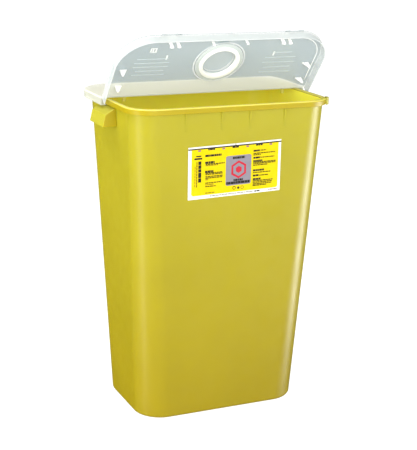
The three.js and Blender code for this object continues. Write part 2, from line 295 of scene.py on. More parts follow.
# Painted shade: a darker copy of the clear plastic for the inner face of the flap's skirt.
FLAP_SKIRT_INSIDE_SHADE = clear_plastic("flap_skirt_inside_shade", (0.36, 0.42, 0.42), (0.42, 0.48, 0.48), 0.5)
CLEAR = clear_plastic("lid_clear", (0.62, 0.67, 0.67), (0.70, 0.74, 0.73), 0.5)
COVER_CLEAR = lid_plastic("cover_clear", (0.88, 0.88, 0.76), (0.58, 0.59, 0.48), 0.65)
TONGUE = clear_plastic("tongue_clear", (0.70, 0.66, 0.25), (0.76, 0.72, 0.3), 0.16)
COLLAR = clear_plastic("collar_white", (0.88, 0.88, 0.84), (0.93, 0.93, 0.90), 0.9)
# Painted shade: a darker, more see-through copy of the collar's white for its flange, setting it off from the
# tube.
FLANGE_SHADED = clear_plastic("collar_flange_shaded", (0.64, 0.70, 0.68), (0.70, 0.75, 0.73), 0.65)
# White for the moulded frames and dashes and for the bead round the flap; on the bead the whiteness is a
# painted highlight.
MARK_AND_HIGHLIGHT_WHITE = clear_plastic("mark_and_highlight_white", (0.82, 0.85, 0.83), (0.88, 0.90, 0.88), 0.8)
FAINT = clear_plastic("moulded_faint", (0.62, 0.70, 0.70), (0.68, 0.75, 0.75), 0.5)
# Painted shade: a darker copy of the clear plastic for the cap's underside, seen in the port.
CAP_UNDERSIDE_SHADE = clear_plastic("cap_clear", (0.31, 0.395, 0.41), (0.36, 0.445, 0.46), 0.55)
INKS = {
    "white": print_ink("label_white", (0.62, 0.62, 0.57)),
    "yellow": print_ink("label_yellow", (0.56, 0.43, 0.0)),
    "grey": print_ink("label_grey", (0.19, 0.178, 0.203)),
    "red": print_ink("label_red", (0.40, 0.020, 0.035)),
    "black": print_ink("label_black", (0.02, 0.018, 0.015)),
    "olive": print_ink("label_olive", (0.07, 0.058, 0.004)),
    "faded": print_ink("label_faded", (0.20, 0.15, 0.006)),
    "pale": print_ink("label_pale", (0.22, 0.21, 0.17)),
    "pink": print_ink("label_pink", (0.25, 0.13, 0.12)),
}

# ---- Mesh helpers: points in millimetres ----


def piece(name, bm, materials, body=None, place=None, cad=(), angle=32):
    """One object from a bmesh in millimetres. Smooth up to angle, with normals weighted by face area."""
    place = place or Matrix.Identity(4)
    bmesh.ops.dissolve_degenerate(bm, edges=bm.edges, dist=0.001)
    bmesh.ops.recalc_face_normals(bm, faces=bm.faces)
    mesh = bpy.data.meshes.new(name)
    bm.to_mesh(mesh)
    bm.free()
    mesh.transform(Matrix.Scale(MM, 4) @ place)
    mesh.shade_smooth()
    mesh.set_sharp_from_angle(angle=math.radians(angle))
    for used in materials:
        mesh.materials.append(used)
    made = bpy.data.objects.new(name, mesh)
    bpy.context.scene.collection.objects.link(made)
    weigh = made.modifiers.new("weigh", "WEIGHTED_NORMAL")
    weigh.keep_sharp = True
    if body:
        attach(made, body)
    if cad:
        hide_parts(*cad)
    return made


def arc(centre, radius, start, end, steps):
    """Points of an arc in degrees, both ends included."""
    turns = [math.radians(start + (end - start) * k / steps) for k in range(steps + 1)]
    return [(centre[0] + radius * math.cos(t), centre[1] + radius * math.sin(t)) for t in turns]


def rectangle(left, right, low, high):
    """Corners of a rectangle, in order round it."""
    return [(left, low), (right, low), (right, high), (left, high)]


def rounded_rectangle(half_x, half_y, corner, steps=20):
    points = []
    for side_x, side_y, start in ((1, 1, 0), (-1, 1, 90), (-1, -1, 180), (1, -1, 270)):
        centre = (side_x * (half_x - corner), side_y * (half_y - corner))
        points += arc(centre, corner, start, start + 90, steps)
    return points


def add_grid(bm, rings, closed_ring=True, closed_path=False):
    """Quads between rings of points. Returns the rings' vertices."""
    made = [[bm.verts.new(p) for p in ring] for ring in rings]
    pairs = list(zip(made, made[1:]))
    if closed_path:
        pairs.append((made[-1], made[0]))
    for low, high in pairs:
        count = len(low)
        for k in range(count if closed_ring else count - 1):
            n = (k + 1) % count
            bm.faces.new((low[k], low[n], high[n], high[k]))
    return made


AXIS_ORDER = {
    "X": lambda a, b, c: (c, a, b),
    "Y": lambda a, b, c: (a, c, b),
    "Z": lambda a, b, c: (a, b, c),
}


def add_prism(bm, points, axis, low, high, round_by=0.0, steps=2, index=0):
    """A solid from an outline, along axis X, Y or Z from low to high, with its edges rounded."""
    order = AXIS_ORDER[axis]
    own = bmesh.new()
    bottom = [own.verts.new(order(a, b, low)) for a, b in points]
    top = [own.verts.new(order(a, b, high)) for a, b in points]
    own.faces.new(bottom[::-1])
    own.faces.new(top)
    for k in range(len(points)):
        n = (k + 1) % len(points)
        own.faces.new((bottom[k], bottom[n], top[n], top[k]))
    if round_by:
        shape = {"offset": round_by, "segments": steps, "profile": 0.5}
        bmesh.ops.bevel(own, geom=own.edges[:], affect="EDGES", clamp_overlap=True, **shape)
    for face in own.faces:
        face.material_index = index
    bmesh.ops.recalc_face_normals(own, faces=own.faces)
    add_mesh(bm, own)


def add_mesh(bm, own):
    """Copies own into bm and frees it."""
    holder = bpy.data.meshes.new("holder")
    own.to_mesh(holder)
    own.free()
    bm.from_mesh(holder)
    bpy.data.meshes.remove(holder)


def turned_rings(section, segments):
    """Copies of a section of (radius, z), turned about the port's middle."""
    rings = []
    for k in range(segments):
        t = 2 * math.pi * k / segments
        rings.append([(r * math.cos(t), -PORT_ALONG + r * math.sin(t), z) for r, z in section])
    return rings


def add_lathe(bm, section):
    """A closed section of (radius, z) turned about the port's middle. Points on the axis are welded."""
    own = bmesh.new()
    add_grid(own, turned_rings(section, PORT_STEPS), closed_path=True)
    bmesh.ops.remove_doubles(own, verts=own.verts, dist=1e-4)
    bmesh.ops.dissolve_degenerate(own, edges=own.edges, dist=1e-5)
    bmesh.ops.recalc_face_normals(own, faces=own.faces)
    add_mesh(bm, own)


def add_pivot_rod(bm, radius, low, high, round_by=0.3):
    """A rod along X on the cap's pivot line."""
    sides = 32
    around = arc((-PIVOT_ALONG, PIVOT_Z), radius, 0, 360 * (sides - 1) / sides, sides - 1)
    add_prism(bm, around, "X", low, high, round_by)


# ---- The yellow container ----


def wall_level(z, grow):
    """The tapered wall's outline at height z, grown outwards."""
    share = min(z / NECK_Z, 1)
    half_x, half_y, corner = (low + (high - low) * share + grow for low, high in zip(BASE, NECK))
    return [(x, y, z) for x, y in rounded_rectangle(half_x, half_y, max(corner, 1))]


def wall_y(z):
    return BASE[1] + (NECK[1] - BASE[1]) * z / NECK_Z


def wall_x(z):
    return BASE[0] + (NECK[0] - BASE[0]) * z / NECK_Z


def add_gussets(bm):
    """Four low upright ribs under the front of the rim."""
    bottom, top = GUSSET_BOTTOM, RIM_Z - RIM_DECK + 0.5
    out = RIM_OUT - RIM_LIP + 0.4
    outline = [
        (-wall_y(bottom) + 1, bottom - 2),
        (-wall_y(bottom) - 0.2, bottom),
        (-NECK[1] - 1.1, NECK_Z),
        (-NECK[1] - out, NECK_Z + 1),
        (-NECK[1] - out, top),
        (-NECK[1] + 1, top),
    ]
    for x in GUSSET_AT:
        add_prism(bm, outline, "X", x - GUSSET_HALF, x + GUSSET_HALF, 1.2, 4)


def container():
    """Wall, floor and rolled rim as one skin, from (height, distance outside the wall) pairs."""
    def bend(z, grow, radius, start, end, steps):
        return [(b, a) for a, b in arc((grow, z), radius, start, end, steps)]

    inner = BASE_ROUND - WALL
    lip_round = RIM_LIP / 2
    outside = [
        *bend(BASE_ROUND, -BASE_ROUND, BASE_ROUND, -90, 0, 8),
        *[(z, 0) for z in (60, 160, 260, 360, 460, 560, 630)],
        (RIM_Z - RIM_DECK - 1.5, 0),
        *bend(RIM_Z - RIM_DECK - 1.5, 1.5, 1.5, 180, 90, 3)[1:],
        (RIM_Z - RIM_DECK, RIM_OUT - RIM_LIP),
        *bend(NECK_Z + lip_round, RIM_OUT - lip_round, lip_round, 180, 360, 6),
        *bend(RIM_Z - RIM_ROUND, RIM_OUT - RIM_ROUND, RIM_ROUND, 0, 90, 8),
        *bend(RIM_Z - RIM_ROUND, RIM_ROUND - WALL, RIM_ROUND, 90, 180, 8),
    ]
    inside = [
        *[(z, -WALL) for z in (560, 460, 360, 260, 160, 60)],
        *bend(FLOOR + inner, -WALL - inner, inner, 0, -90, 8),
    ]
    bm = bmesh.new()
    rings = add_grid(bm, [wall_level(z, grow) for z, grow in outside + inside])
    bm.faces.new(rings[0][::-1])
    bm.faces.new(rings[-1])
    inner_verts = {vert for ring in rings[len(outside):] for vert in ring}
    for face in bm.faces:
        middle = face.calc_center_median()
        # Inner faces take the lighter copy of the yellow: painted light inside the bin.
        if inner_verts.intersection(face.verts):
            face.material_index = 1
        # Faces near the top of the rim take the pale copy: a painted highlight along the crest.
        elif middle.z > RIM_Z - 2.4:
            face.material_index = 2
        # The band between the neck and the crest takes the deeper copy: painted shade under the rim.
        elif middle.z > NECK_Z:
            face.material_index = 3
    add_gussets(bm)
    uses = [YELLOW, YELLOW_INSIDE_LIT, YELLOW_CREST_HIGHLIGHT, YELLOW_RIM_SHADE]
    piece("bin_shell", bm, uses, "container", cad=["container_body"])


def cut(target, cutter):
    """target minus cutter, applied. The cutter is removed."""
    step = target.modifiers.new("cut", "BOOLEAN")
    step.operation, step.solver, step.object = "DIFFERENCE", "EXACT", cutter
    bpy.context.view_layer.update()
    result = bpy.data.meshes.new_from_object(target.evaluated_get(bpy.context.evaluated_depsgraph_get()))
    target.modifiers.clear()
    target.data = result
    bpy.data.objects.remove(cutter)


def plain_object(bm):
    """A bare object for a Boolean. bm is freed."""
    mesh = bpy.data.meshes.new("plain")
    bmesh.ops.recalc_face_normals(bm, faces=bm.faces)
    bm.to_mesh(mesh)
    bm.free()
    made = bpy.data.objects.new("plain", mesh)
    bpy.context.scene.collection.objects.link(made)
    return made


def hollowed(outer, inner):
    """outer minus inner as a new bmesh. Both are used up."""
    shell, cutter = plain_object(outer), plain_object(inner)
    cut(shell, cutter)
    bm = bmesh.new()
    bm.from_mesh(shell.data)
    bpy.data.objects.remove(shell)
    return bm


def hand_hood(side, word):
    """The hollow hood of a handle, open below for the fingers."""
    low, high = (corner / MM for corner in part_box(f"handle_{word}"))
    half_y, bottom, top = high.y, low.z, high.z
    out_x = high.x if side > 0 else -low.x
    edge_x = out_x - HOOD_SLOPE
    outline = [
        (wall_x(bottom) - 0.5, bottom),
        (out_x, bottom),
        (edge_x, HOOD_EDGE),
        (wall_x(top) - 0.5, top),
    ]
    hollow = [
        (wall_x(bottom) - 6, bottom - 8),
        (out_x - HOOD_WALL + 1, bottom - 8),
        (edge_x - HOOD_WALL, HOOD_EDGE - 1.6),
        (wall_x(top) - 6, top),
    ]
    outer, inner = bmesh.new(), bmesh.new()
    add_prism(outer, [(side * x, z) for x, z in outline], "Y", -half_y, half_y, 1.8, 4)
    add_prism(inner, [(side * x, z) for x, z in hollow], "Y", HOOD_WALL - half_y, half_y - HOOD_WALL, 1.6, 3)
    bm = hollowed(outer, inner)
    # The hood's end faces take the deeper copy of the yellow: painted shade.
    for face in bm.faces:
        if abs(face.normal.y) > 0.8:
            face.material_index = 1
    # The rest of the hood takes the lighter copy of the yellow: painted light.
    uses = [YELLOW_HOOD_LIT, YELLOW_RIM_SHADE]
    piece(f"hand_hood_{word}", bm, uses, "container", cad=[f"handle_{word}"])


# ---- The lid ----


def lid_corner(centre_x, centre_y, radius, turn, first):
    """Points and inward directions of a quarter circle from first degrees, mirrored in Y where turn is -1."""
    steps = 18
    made = []
    for k in range(steps + 1):
        t = math.radians(first + 90 * k / steps)
        point = (centre_x + radius * math.cos(t), centre_y + turn * radius * math.sin(t))
        made.append((point, (-math.cos(t), -turn * math.sin(t))))
    return made


def lid_path(far, corner):
    """Points and inward directions from the fold's right end to its left. far is the signed reach in Y."""
    turn = math.copysign(1, far)
    near, mid = turn * FOLD_CLEAR, far - turn * corner
    inset = LID_HALF_X - corner
    return [
        ((LID_HALF_X, near), (-1, 0)),
        *lid_corner(inset, mid, corner, turn, 0),
        *lid_corner(-inset, mid, corner, turn, 90),
        ((-LID_HALF_X, near), (1, 0)),
    ]


def lid_half(bm, far, corner, skirt, hole=None, inside=0, outside=0):
    """Plate and skirt of half of the lid, top at Z = 0, as one closed skin. hole is a section round the port.

    inside and outside are the material slots of the skirt's inner face and of the top.
    """
    edge, lip, fillet, band = 3.0, SKIRT_T / 2, 2.0, 9.0
    section = [
        (band, 0.0),
        *arc((edge, -edge), edge, 90, 180, 6),
        *arc((lip, lip - skirt), lip, 180, 360, 6),
        *arc((SKIRT_T + fillet, -LID_T - fillet), fillet, 180, 90, 5),
        (band, -LID_T),
    ]
    skirt_inside = range(12, 15)  # the lip's inner edge and the skirt's inner face, in section
    path = lid_path(far, corner)
    own = bmesh.new()
    rings = [[(x + u * nx, y + u * ny, z) for u, z in section] for (x, y), (nx, ny) in path]
    strips = add_grid(own, rings, closed_ring=False)
    for k, face in enumerate(own.faces):
        if k % (len(section) - 1) in skirt_inside:
            face.material_index = inside
    own.faces.new(strips[0])
    own.faces.new(strips[-1][::-1])
    first, last = strips[0], strips[-1]
    own.faces.new((first[0], last[0], last[-1], first[-1]))
    loops = {0.0: [strip[0] for strip in strips], -LID_T: [strip[-1] for strip in strips]}
    holes = {}
    if hole:
        made = add_grid(own, turned_rings(hole, 96), closed_ring=False, closed_path=True)
        holes = {0.0: [ring[0] for ring in made], -LID_T: [ring[-1] for ring in made]}
    for z, loop in loops.items():
        if not hole:
            own.faces.new(loop)
            continue
        edges = []
        for verts in (loop, holes[z]):
            for k in range(len(verts)):
                pair = (verts[k], verts[(k + 1) % len(verts)])
                edges.append(own.edges.get(pair) or own.edges.new(pair))
        bmesh.ops.triangle_fill(own, use_beauty=True, edges=edges)
    bmesh.ops.recalc_face_normals(own, faces=own.faces)
    for face in own.faces:
        if face.normal.z > 0.6 and face.calc_center_median().z > -LID_T / 2:
            face.material_index = outside
    add_mesh(bm, own)


def rear_cover():
    bm = bmesh.new()
    lid_half(bm, COVER_REAR, COVER_CORNER, COVER_SKIRT)
    piece("cover_shell", bm, [COVER_CLEAR], "container", AT_FOLD, ["rear_cover"])


def flap_shell():
    """The flap, with a low ring on its underside round the port."""
    under = -LID_T
    section = [
        (60.0, 0.0),
        (PORT_HOLE + 0.6, 0.0),
        (PORT_HOLE, -0.6),
        (PORT_HOLE, under + 0.6),
        (PORT_HOLE + 0.6, under),
        (52.2, under),
        (52.8, under - 0.3),
        (53.0, under - 1.0),
        (53.1, under - 1.8),
        (53.6, under - 2.3),
        (54.9, under - 2.3),
        (55.4, under - 1.8),
        (55.5, under - 1.0),
        (55.8, under - 0.3),
        (56.5, under),
        (60.0, under),
    ]
    bm = bmesh.new()
    lid_half(bm, -FLAP_LENGTH, FLAP_CORNER, FLAP_SKIRT, hole=section, inside=1, outside=2)
    # The skirt's inner face takes the darker copy, painted shade; the top takes the flap's plain top colour.
    uses = [FLAP_PAINTED_LIGHT_AND_SHADE, FLAP_SKIRT_INSIDE_SHADE, FLAP_TOP]
    piece("flap_shell", bm, uses, "flap", ON_FLAP, ["front_flap"])


def small(name, cad, outline, axis, low, high, round_by, use, body="flap", place=None):
    """A small moulded solid that stands for one CAD node."""
    bm = bmesh.new()
    add_prism(bm, outline, axis, low, high, round_by)
    piece(name, bm, [use], body, place or ON_FLAP, [cad])


def collar():
    """The ring through the port, with a flange under the lid and a lip round its lower end."""
    top, bottom = 5.0, -8.5
    bore, tube, lip, flange = 35.5, 37.7, 43.5, 51.0
    section = [
        *arc((bore + 1.2, bottom + 1.2), 1.2, 180, 270, 3),
        *arc((lip - 1.4, bottom + 1.4), 1.4, 270, 360, 4),
        (lip, -6.8),
        (lip - 0.5, -6.2),
        (lip, -5.7),
        (lip + 1.8, -5.4),
        (flange - 1.6, -5.3),
        *arc((flange - 1.0, -4.3), 1.0, 270, 360, 3),
        (flange, UNDER_LID),
        (tube, UNDER_LID),
        (tube, 0.3),
        (tube + 1.6, 0.3),
        (tube + 1.6, 2.3),
        (tube, 4.2),
        *arc((tube - 0.8, top - 0.8), 0.8, 0, 90, 3),
        *arc((bore + 0.8, top - 0.8), 0.8, 90, 180, 3),
    ]
    bm = bmesh.new()
    add_lathe(bm, section)
    # Faces beyond the lip take the flange's darker copy: painted shade against the bright tube.
    for face in bm.faces:
        away = face.calc_center_median()
        if math.hypot(away.x, away.y + PORT_ALONG) > lip + 0.8:
            face.material_index = 1
    piece("collar_ring", bm, [COLLAR, FLANGE_SHADED], "flap", ON_FLAP, ["port_collar"])


def cap():
    """The port's cap: disc with a plug ring, arm with the pivot, and a finger tab with three grip bars."""
    top, under, low = 7.6, 5.4, 0.5
    section = [
        (0.0, top),
        *arc((CAP_RADIUS - 1.5, top - 1.5), 1.5, 90, 0, 4),
        *arc((CAP_RADIUS - 1.2, low + 1.2), 1.2, 0, -180, 6),
        (CAP_RADIUS - 2.4, under),
        (35.0, under),
        (35.0, 0.8),
        (34.4, 0.2),
        (33.2, 0.2),
        (32.6, 0.8),
        (32.6, under),
        (0.0, under),
    ]
    bm = bmesh.new()
    add_lathe(bm, section)
    rear, front = CAP_RADIUS - PORT_ALONG, -CAP_RADIUS - PORT_ALONG
    arm = rectangle(-PIVOT_HALF_X, PIVOT_HALF_X, rear - 1.6, -PIVOT_ALONG)
    add_prism(bm, arm, "Z", 2.8, 6.8, 0.8)
    add_pivot_rod(bm, 3.4, -PIVOT_HALF_X, PIVOT_HALF_X)
    add_pivot_rod(bm, PIVOT_PIN, -PIVOT_HALF_X - 3.4, PIVOT_HALF_X + 3.4)
    tab = [
        (-11, front + 3),
        *arc((-6, front - 2.7), 5, 180, 270, 5),
        *arc((6, front - 2.7), 5, 270, 360, 5),
        (11, front + 3),
    ]
    add_prism(bm, tab, "Z", 5.2, top, 0.6)
    for k in range(3):
        start = front - 5.4 + 2 * k
        add_prism(bm, rectangle(-6, 6, start, start + 0.6), "Z", 7.5, 8.1, 0.2)
    # Faces turned down take the darker copy, painted shade in the port; the rest take the flap's top colour.
    bm.normal_update()
    for face in bm.faces:
        if face.normal.z > -0.3:
            face.material_index = 1
    piece("cap_disc", bm, [CAP_UNDERSIDE_SHADE, FLAP_TOP], "port_cap", ON_FLAP, ["port_cap"])


def cap_ear(side, word):
    """An ear on the flap that holds the cap's pin."""
    radius, hole = 3.95, PIVOT_PIN + 0.35
    near, far = sorted((side * (PIVOT_HALF_X + 0.6), side * (PIVOT_HALF_X + 3.6)))
    outline = [
        (-PIVOT_ALONG - radius, GAP),
        (-PIVOT_ALONG + radius, GAP),
        *arc((-PIVOT_ALONG, PIVOT_Z), radius, 0, 180, 16),
    ]
    outer, inner = bmesh.new(), bmesh.new()
    add_prism(outer, outline, "X", near, far, 0.35)
    add_pivot_rod(inner, hole, near - 2, far + 2, 0)
    bm = hollowed(outer, inner)
    piece(f"cap_ear_{word}", bm, [CLEAR], "flap", ON_FLAP, [f"cap_bracket_{word}"])


def catch_outline(rim_out, skirt_in):
    """A catch inside the cover's skirt that hooks under the rim's lip, as (distance out, z) pairs."""
    lip = NECK_Z - HINGE.z
    back = min(skirt_in - GAP, rim_out + 8)
    return [
        (back, UNDER_LID),
        (back, lip - 1.7),
        (back - 1, lip - 2.6),
        (rim_out - 1, lip - 2.6),
        (rim_out - RIM_LIP + 0.2, lip - GAP),
        (rim_out + 1.2, lip - GAP),
        (rim_out + 4, lip + 4),
        (rim_out + 4, UNDER_LID),
    ]


def latch(side, word):
    """Two hooked arms on a bar behind the flap's front skirt."""
    back, middle = GAP + SKIRT_T - FLAP_LENGTH, side * 121
    arm = [
        (back + 3, UNDER_LID),
        (back + 3, -30),
        (back + 6, -30),
        (-158.2, -25),
        (-158.2, -24),
        (back + 6.5, -22),
        (back + 6.5, UNDER_LID),
    ]
    bm = bmesh.new()
    bar = rectangle(middle - 10, middle + 10, back, back + 6.5)
    add_prism(bm, bar, "Z", UNDER_LID - 2.4, UNDER_LID, 0.5)
    for low, high in ((-10, -5), (5, 10)):
        add_prism(bm, arm, "X", middle + low, middle + high, 0.5)
    piece(f"latch_arms_{word}", bm, [COLLAR], "flap", ON_FLAP, [f"front_latch_{word}"])


def latch_press(side, word):
    """A press pad with two raised blocks, on top of the flap over a latch."""
    middle = -121.5 if side < 0 else 146.5
    front = -169.5
    bm = bmesh.new()
    for low, high, back, tall in ((-22, 22, -160, 1.5), (-20.5, -9.5, -161, 3.4), (9.5, 20.5, -161, 3.4)):
        add_prism(bm, rectangle(middle + low, middle + high, front, back), "Z", GAP, tall, 0.5)
    piece(f"latch_press_{word}", bm, [CLEAR], "flap", ON_FLAP, [f"latch_pad_{word}"])


def fold_web():
    """The thin web from the cover's edge to the flap's, which bends as the flap folds in the real lid; here
    it is drawn once, bent to the flap's rest angle.
    """
    reach = Vector((FOLD_CLEAR + 0.3, -LID_T / 2))
    start = math.atan2(reach.y, reach.x)
    end = -math.pi - start - math.radians(FLAP_OPEN)
    steps, waist, half_t = 14, 0.9, 0.3
    outer, inner = [], []
    for k in range(steps + 1):
        t = k / steps
        turn = start + (end - start) * t
        radius = waist + (reach.length - waist) * abs(2 * t - 1) ** 1.4
        for line, grow in ((outer, half_t), (inner, -half_t)):
            line.append(((radius + grow) * math.cos(turn), (radius + grow) * math.sin(turn)))
    bm = bmesh.new()
    section = outer + inner[::-1]
    rings = [[(x, y, z) for y, z in section] for x in (-FOLD_HALF_X, FOLD_HALF_X)]
    made = add_grid(bm, rings)
    bm.faces.new(made[0][::-1])
    bm.faces.new(made[-1])
    web = piece("fold_web", bm, [CLEAR], None, AT_FOLD, ["hinge_strip"])
    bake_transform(web)


def marks():
    """Faint bars moulded on the flap's underside, plain stand-ins for moulded notes."""
    faint, bright = bmesh.new(), bmesh.new()
    under, deep = -LID_T, 0.25

    def bar(bm, x, along, length, wide=2.0):
        outline = rectangle(x - length / 2, x + length / 2, -along - wide / 2, -along + wide / 2)
        add_prism(bm, outline, "Z", under - deep, under - 0.02, deep * 0.45)

    for k, length in enumerate((66, 74, 74, 60, 70)):
        bar(faint, -146.5, 106 - 11 * k, length)
    for k, length in enumerate((44, 70, 74, 62, 72)):
        bar(faint, 137, 112 - 14 * k, length)
    for x in (-156.0, -151.5, -145.5):
        bar(bright, x, 130, 3.0, 13)
    for along in (124.8, 135.2):
        bar(bright, -150.5, along, 14, 2.6)
    for x in (-118, 118):
        bar(bright, x, 109, 3.6, 12)
    piece("moulded_bars", faint, [FAINT], "flap", ON_FLAP)
    piece("moulded_frames", bright, [MARK_AND_HIGHLIGHT_WHITE], "flap", ON_FLAP)


def highlight_bead():
    """A low whitish line round the flap's underside that meets the rim's crown, with a flat top. Its
    whiteness is a painted highlight for the bright streaks along the flap's sides and corners.
    """
    half_x, start, radius, half_w, deep = 220.0, 25.0, 55.0, 1.3, 0.42
    mid_x, mid_y, under = half_x - radius, -97.0, -LID_T
    path = [((half_x, -start), (-1, 0))]
    for first in (0, 90):
        for k in range(19):
            t = math.radians(first + 5 * k)
            centre = mid_x if first == 0 else -mid_x
            point = (centre + radius * math.cos(t), mid_y - radius * math.sin(t))
            path.append((point, (-math.cos(t), math.sin(t))))
    path.append(((-half_x, -start), (1, 0)))
    line = [
        (-half_w, under - 0.02),
        (-half_w, under - deep + 0.15),
        (-half_w + 0.3, under - deep),
        (half_w - 0.3, under - deep),
        (half_w, under - deep + 0.15),
        (half_w, under - 0.02),
    ]
    rings = [[(x + u * nx, y + u * ny, z) for u, z in line] for (x, y), (nx, ny) in path]
    bm = bmesh.new()
    made = add_grid(bm, rings)
    bm.faces.new(made[0][::-1])
    bm.faces.new(made[-1])
    piece("highlight_bead_line", bm, [MARK_AND_HIGHLIGHT_WHITE], "flap", ON_FLAP)


# ---- The label ----


# Lines of print on the label, in the size it is drawn to: height, ends and ink.
LEFT_START, RIGHT_START = -67.5, 42
LEFT_HEADINGS = ((91.4, -31), (77.0, -46.5), (57.6, -48.5))
LEFT_LINES = (
    (73.2, -23.3, "olive"),
    (70.6, -38, "faded"),
    (54.2, -28, "olive"),
    (51.4, -27.5, "olive"),
    (46.8, -27, "olive"),
    (43.6, -28, "olive"),
    (40.4, -60, "faded"),
    (33.2, -28.5, "olive"),
    (29.6, -48, "faded"),
    (25.6, -42.5, "olive"),
    (11.6, -45.5, "faded"),
)
RIGHT_HEADINGS = ((92.2, 58), (77.0, 59), (70.0, 64), (49.6, 69), (38.3, 56), (30.4, 61))
RIGHT_LINES = (
    (92.2, 59, 72),
    (86.4, 42, 94),
    (83.2, 42, 60),
    (76.8, 60, 92),
    (67.0, 42, 96),
    (64.2, 42, 95),
    (60.8, 42, 77),
    (44.6, 42, 84),
    (37.8, 57, 79),
    (26.6, 42, 90),
    (23.2, 42, 88),
    (19.8, 42, 87),
    (16.6, 42, 75),
)
UPRIGHT_BLOCKS = ((36, 45), (45.8, 57), (57.8, 64.5), (65.3, 73), (73.8, 81))
SPOTS = ((-1.2, 16.2, 3.8, "olive"), (8.5, 15.6, 2.8, "black"), (17.6, 15.6, 3.8, "faded"))


class Print:
    """Flat printed shapes, in millimetres from the middle of the label's lower edge, in thin layers."""

    half_x, height = 106.5, 112.0  # the size drawn to, scaled afterwards
    film, ink = 0.4, 0.06

    def __init__(self):
        self.bm = bmesh.new()
        self.names = list(INKS)
        self.rng = random.Random(7)

    def sheet(self, points, colour, layer):
        """One flat shape. Layer 0 is the film, and each later layer lies on the one below."""
        low = self.film + self.ink * (layer - 1) + 0.005 if layer else 0.0
        high = self.film + self.ink * layer
        add_prism(self.bm, points, "Z", low, high, index=self.names.index(colour))

    def block(self, left, right, low, high, colour, layer=2, corner=0.0):
        if corner:
            mid_x, mid_y = (left + right) / 2, (low + high) / 2
            around = rounded_rectangle((right - left) / 2, (high - low) / 2, corner, 6)
            self.sheet([(x + mid_x, y + mid_y) for x, y in around], colour, layer)
        else:
            self.sheet(rectangle(left, right, low, high), colour, layer)

    def words(self, start, end, y, tall, colour, gap=0.9, layer=2):
        """A line of print as short bars."""
        x, half_tall = start, tall * 1.45 / 2
        while x < end - 1:
            long = min(self.rng.uniform(3.5, 9.0), end - x)
            self.block(x, x + long - gap, y - half_tall, y + half_tall, colour, layer)
            x += long


def six_sided(x, y, radius):
    turns = [math.radians(degrees) for degrees in range(30, 390, 60)]
    return [(x + radius * math.cos(t), y + radius * math.sin(t)) for t in turns]


def print_panel(art):
    """White film, yellow panel with round lower corners, and a rule along its top with a short tick."""
    half_x, height = art.half_x, art.height
    art.block(-half_x, half_x, 0, height, "white", 0)
    left, right, low, top = -half_x + 7.4, half_x - 5.8, 7.4, height - 5.4
    panel = [
        *arc((left + 5, low + 5), 5, 180, 270, 6),
        *arc((right - 5, low + 5), 5, 270, 360, 6),
        (right, top),
        (left, top),
    ]
    art.sheet(panel, "yellow", 1)
    art.block(-half_x, half_x, height - 6.0, height - 3.3, "black")
    art.block(-0.1, 1.5, height - 3.3, height - 0.3, "black")


def print_sign(art):
    """Grey square with a six-sided ring and dot, a made-up mark, and three spots below it."""
    x, y = 8.6, 55.5
    art.block(-21.2, 37.5, 22, 86.4, "grey", 2, 4.5)
    out, into = six_sided(x, y, 19.5), six_sided(x, y, 14.6)
    for k in range(6):
        n = (k + 1) % 6
        art.sheet([out[k], out[n], into[n], into[k]], "red", 3)
    art.sheet(six_sided(x, y, 7.6), "red", 3)
    art.words(-5.5, 23, 81.2, 3.4, "black", 0.7, 3)
    art.words(-3.0, 19.5, 33.2, 3.2, "black", 0.7, 3)
    art.words(-19.5, 36.3, 27.4, 4.0, "black", 0.5, 3)
    for x, y, radius, colour in SPOTS:
        art.sheet(arc((x, y), radius, 0, 345, 23), colour, 2)
        if radius > 3:
            art.sheet(arc((x, y), radius - 1.4, 0, 345, 23), "yellow", 3)


def print_text(art):
    """Two columns of headings and lines."""
    for y, end in LEFT_HEADINGS:
        art.words(LEFT_START - 1, end, y, 3.2, "black", 0.6)
    for y, end, colour in LEFT_LINES:
        art.words(LEFT_START, end, y, 1.7, colour, 0.8)
    for y, end in RIGHT_HEADINGS:
        art.words(RIGHT_START, end, y, 2.9, "black", 0.6)
    for y, start, end in RIGHT_LINES:
        art.words(start, end, y, 1.7, "olive", 0.8)


def print_edges(art):
    """Upright blocks down the left side, and bars along the upper and lower edges."""
    for low, high in UPRIGHT_BLOCKS:
        art.block(-83.8, -77.0, low, high, "black")
    for k in range(9):
        art.block(-88.0, -86.0, 26 + 6.1 * k, 31.3 + 6.1 * k, "olive")
    for k in range(7):
        art.block(-91.9, -90.2, 27 + 6.4 * k, 32.4 + 6.4 * k, "faded")
    art.block(-93, -75, 84.8, 88.6, "black", 2, 1.4)
    art.block(-89, -77, 90.6, 93.4, "black", 2, 1.2)
    for x in (-54, 1.0, 55.5):
        art.words(x - 8, x + 8, art.height - 7.4, 2.5, "black", 0.6)
    for x in (-81.5, -27, 28, 82.2):
        art.block(x - 3.4, x + 3.4, art.height - 10.4, art.height - 6.6, "pink", 2, 1.6)
    art.words(-57, 45, 4.3, 1.5, "pale", 1.0)
    art.words(46.5, 60, 4.0, 1.9, "black", 0.7)
    art.words(79, 101, 4.2, 1.5, "pink", 1.0)


def label():
    """A film on the front wall: white sheet, yellow panel and plain shapes, with no words or signs."""
    art = Print()
    print_panel(art)
    print_sign(art)
    print_text(art)
    print_edges(art)
    slope = math.atan2(NECK[1] - BASE[1], NECK_Z)
    centre = Vector((LABEL["x"], -wall_y(LABEL["z"]) - GAP, LABEL["z"]))
    place = Matrix.Translation(centre) @ Matrix.Rotation(math.pi / 2 + slope, 4, "X")
    place = place @ Matrix.Rotation(math.radians(LABEL["turn"]), 4, "Z")
    place = place @ Matrix.Scale(LABEL["half_x"] / art.half_x, 4)
    place = place @ Matrix.Translation((0, -art.height / 2, 0))
    inks = list(INKS.values())
    piece("label_film", art.bm, inks, "container", place, ["front_label"], angle=20)


# ---- Build every piece ----

